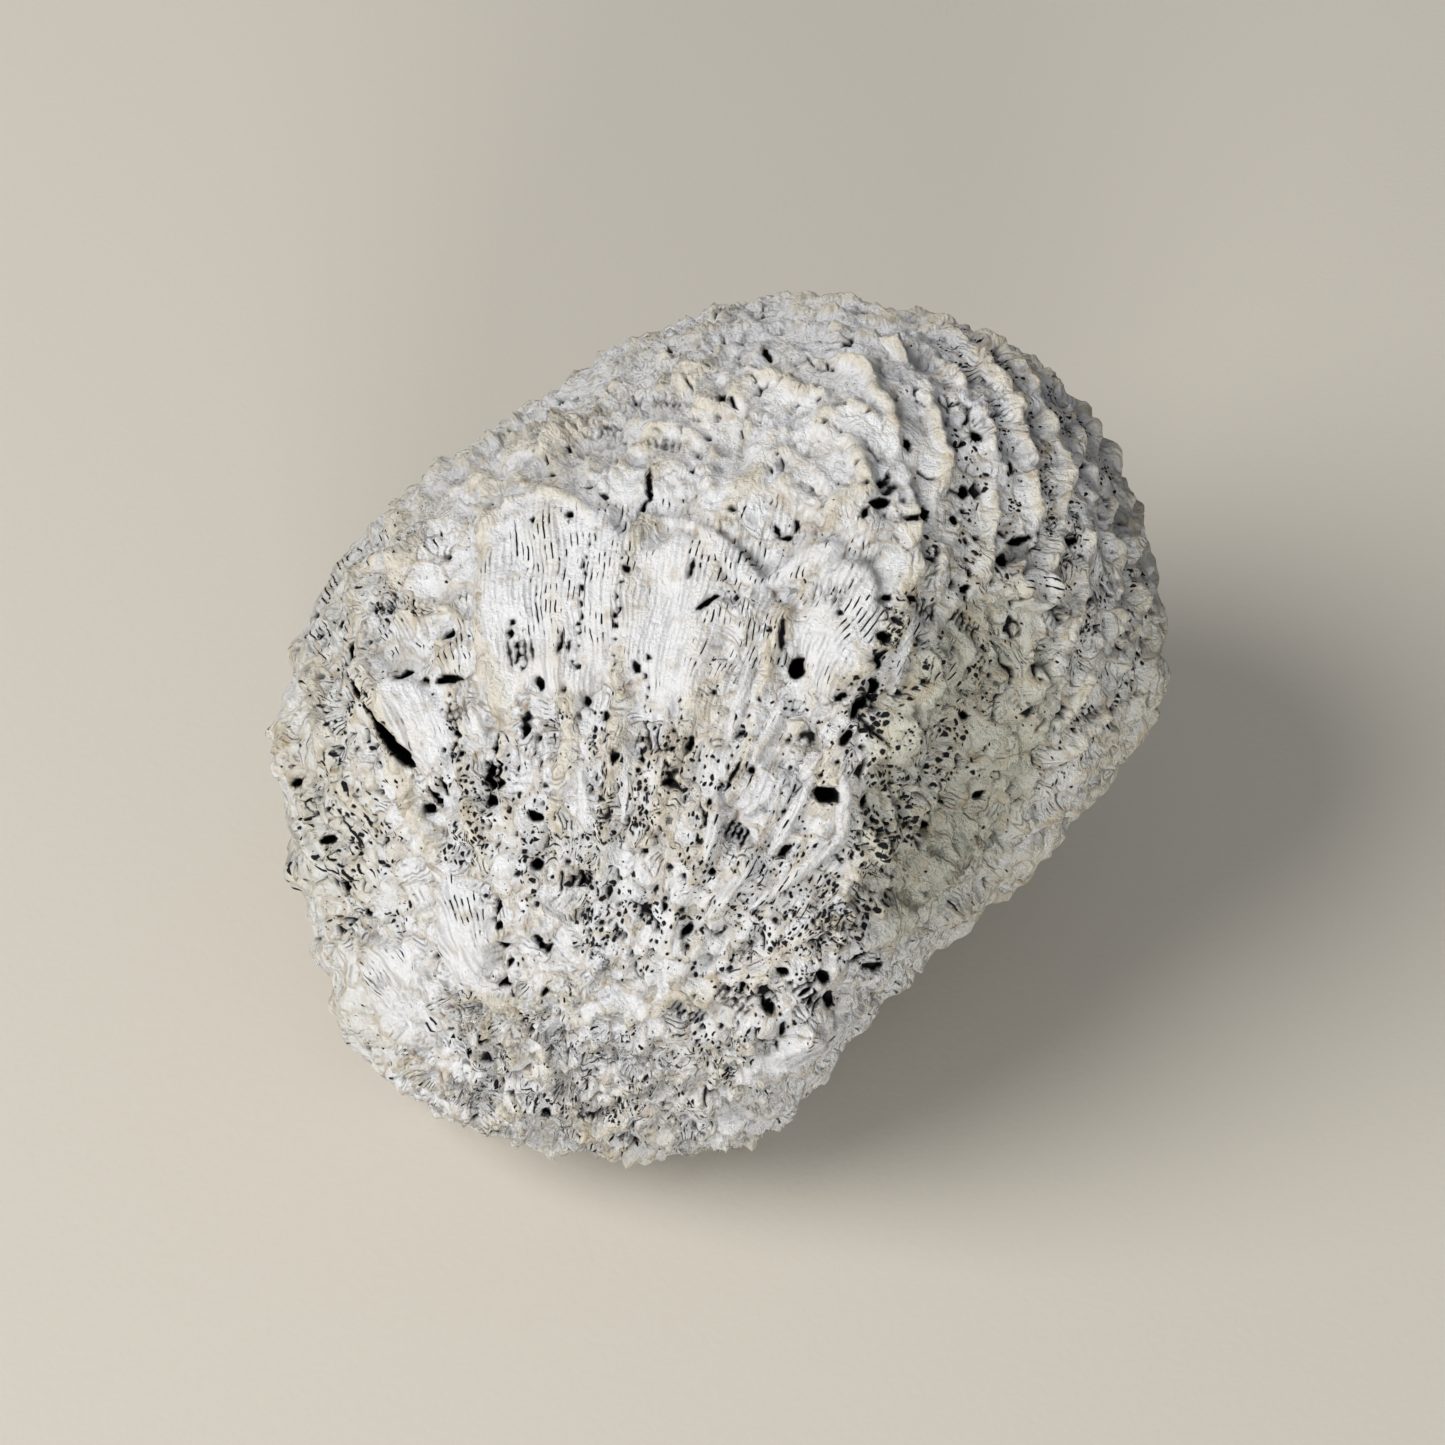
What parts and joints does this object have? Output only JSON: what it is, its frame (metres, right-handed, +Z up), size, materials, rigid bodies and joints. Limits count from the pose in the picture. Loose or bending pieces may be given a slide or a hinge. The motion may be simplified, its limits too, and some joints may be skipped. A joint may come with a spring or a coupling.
{
  "type": "fossil brain coral",
  "caption": "Loose bleached lump of fossil brain coral with a worn, fan-lined face, a ridged dome and rough pits, lying on its worn flat underside as a display specimen.",
  "frame": {"origin": "on the surface that the stone lies on, under the middle of its bounding box", "axes": "+Z up; the worn face looks towards -Y and up, leaning back 40 degrees from level; +X to the right of the worn face, towards the ridged flank"},
  "size_m": [0.1268, 0.115, 0.1027],
  "materials": {
    "coral_stone": "dry, rough, porous, weathered white limestone"
  },
  "bodies": {
    "root": {"brain_coral": "coral_stone"}
  },
  "joints": []
}
